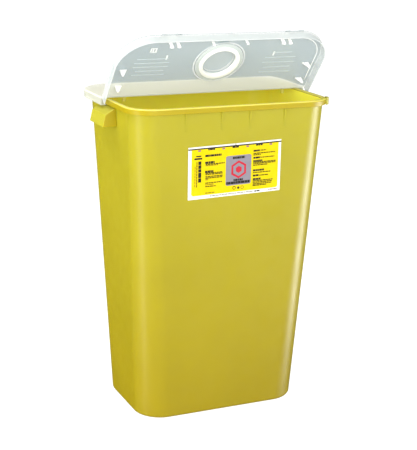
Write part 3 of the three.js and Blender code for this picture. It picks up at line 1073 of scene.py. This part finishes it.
container()
rear_cover()
flap_shell()
collar()
cap()
fold_web()
marks()
highlight_bead()
label()

tab_y = -FLAP_LENGTH - GAP
thumb = [
    (-8, tab_y),
    (8, tab_y),
    *arc((4.6, -FLAP_LENGTH - 1.6), 3.4, 0, -90, 5),
    *arc((-4.6, -FLAP_LENGTH - 1.6), 3.4, -90, -180, 5),
]
small("thumb_tab_shell", "thumb_tab", thumb, "Z", -LID_T, 0, 0.5, CLEAR)

side_catch = catch_outline(NECK[0] + RIM_OUT, LID_HALF_X - SKIRT_T)
rear_catch = catch_outline(NECK[1] + RIM_OUT, COVER_REAR - SKIRT_T)
blade = [(194.5, UNDER_LID), (209.6, UNDER_LID), (209.4, -12), (208.6, -19), (205.4, -19)]
rib = rectangle(-161, -157.8, -23.5, UNDER_LID)
on_cover = {"use": COVER_CLEAR, "body": "container", "place": AT_FOLD}
on_cover_tab = {"use": TONGUE, "body": "container", "place": AT_FOLD}
for side, word in ((-1, "left"), (1, "right")):
    hand_hood(side, word)
    cap_ear(side, word)
    latch(side, word)
    flip = [(side * x, z) for x, z in side_catch]
    small(f"cover_catch_{word}", f"cover_clip_{word}", flip, "Y", 4, 12, 0.4, **on_cover)
    near, far = side * 100 - 12, side * 100 + 12
    small(f"cover_catch_rear_{word}", f"cover_clip_rear_{word}", rear_catch, "X", near, far, 0.4, **on_cover)
    tongue = rectangle(side * 180 - 3.5, side * 180 + 3.5, -12, UNDER_LID)
    small(f"cover_tongue_{word}", f"cover_tab_{word}", tongue, "Y", 2.5, 4.5, 0.4, **on_cover_tab)
    near, far = side * 36.5 - 2.2, side * 36.5 + 2.2
    small(f"flap_blade_{word}", f"flap_rib_{word}", rib, "X", near, far, 0.5, COLLAR)
    flip = [(side * x, z) for x, z in blade]
    for where, along in (("front", 79), ("rear", 33)):
        near, far = -along - 1.25, -along + 1.25
        small(f"side_blade_{where}_{word}", f"side_clip_{where}_{word}", flip, "Y", near, far, 0.4, COLLAR)
    latch_press(side, word)

lug = frame["nodes"]["rim_lug"]
lug.data.materials.clear()
lug.data.materials.append(YELLOW)

# ---- Floor, light and camera ----


def add_floor():
    """A pale floor that glossy rays don't see and that casts no shadow."""
    bm = bmesh.new()
    bmesh.ops.create_grid(bm, x_segments=2, y_segments=2, size=20000)
    floor_mesh = bpy.data.meshes.new("floor")
    bm.to_mesh(floor_mesh)
    bm.free()
    floor_mesh.transform(Matrix.Scale(MM, 4))
    floor = bpy.data.objects.new("floor", floor_mesh)
    bpy.context.scene.collection.objects.link(floor)
    pale, tree, shader = material("pale_floor", (0.3, 0.3, 0.3))
    vary(tree, shader, noise(tree, 1.5), (0.30, 0.30, 0.30), (0.32, 0.32, 0.32))
    shader.inputs["Roughness"].default_value = 0.9
    shader.inputs["Specular IOR Level"].default_value = 0.0
    shader.inputs["Emission Color"].default_value = (1, 1, 1, 1)
    shader.inputs["Emission Strength"].default_value = 0.86
    floor.data.materials.append(pale)
    floor.visible_glossy = floor.visible_shadow = False


def add_world():
    world = bpy.data.worlds.new("studio")
    bpy.context.scene.world = world
    world.use_nodes = True
    world.cycles_visibility.glossy = False
    world.node_tree.nodes["Background"].inputs["Color"].default_value = (1, 1, 1, 1)
    world.node_tree.nodes["Background"].inputs["Strength"].default_value = 0.85


def lamp(name, place, aim, size, power, diffuse=True, glossy=True):
    """A rectangular area light at place, turned towards aim."""
    data = bpy.data.lights.new(name, "AREA")
    data.shape, data.size, data.size_y, data.energy = "RECTANGLE", size[0], size[1], power
    made = bpy.data.objects.new(name, data)
    made.location = place
    made.rotation_euler = (Vector(aim) - Vector(place)).to_track_quat("-Z", "Y").to_euler()
    made.visible_diffuse, made.visible_glossy = diffuse, glossy
    bpy.context.scene.collection.objects.link(made)


def add_lamps():
    """Soft light, mostly from the front and left. The strips only make the upright corners' highlights."""
    lamp("key", (-0.3, -3.0, 1.15), (0, 0, 0.55), (2.2, 1.4), 61)
    lamp("fill_left", (-2.7, -1.0, 0.75), (0, 0, 0.45), (1.4, 1.2), 69, glossy=False)
    lamp("fill_right", (2.2, -1.2, 0.7), (0.1, 0, 0.35), (1.0, 1.0), 15, glossy=False)
    lamp("strip_left", (-1.95, -0.46, -0.05), (-0.1, 0, 0.3), (0.5, 1.5), 13, diffuse=False)
    lamp("strip_right", (1.97, -0.86, 0.0), (0.15, 0, 0.3), (0.95, 1.4), 66, diffuse=False)
    lamp("top", (-0.9, 0.2, 2.5), (0, 0, 0.6), (1.4, 1.0), 30)


def camera():
    """Seen from a little left of the front and from above."""
    azimuth, elevation, roll = (math.radians(v) for v in (-24.5, 15.43, 1.19))
    distance, lens, long_side = 2.534, 94.76, 36.0
    right = Vector((math.cos(azimuth), math.sin(azimuth), 0))
    level = math.cos(elevation)
    back = Vector((math.sin(azimuth) * level, -math.cos(azimuth) * level, math.sin(elevation)))
    up = back.cross(right)
    side = right * math.cos(roll) + up * math.sin(roll)
    top = up * math.cos(roll) - right * math.sin(roll)
    aim = Vector((0, 0, 0.3772)) + right * 0.0104
    data = bpy.data.cameras.new("camera")
    data.sensor_width, data.lens = long_side, lens
    made = bpy.data.objects.new("camera", data)
    turn = Matrix((side, top, back)).transposed().to_4x4()
    made.matrix_world = Matrix.Translation(aim + back * distance) @ turn
    bpy.context.scene.collection.objects.link(made)
    bpy.context.scene.camera = made


add_floor()
add_world()
add_lamps()
camera()
bpy.context.scene.view_settings.view_transform = "Standard"
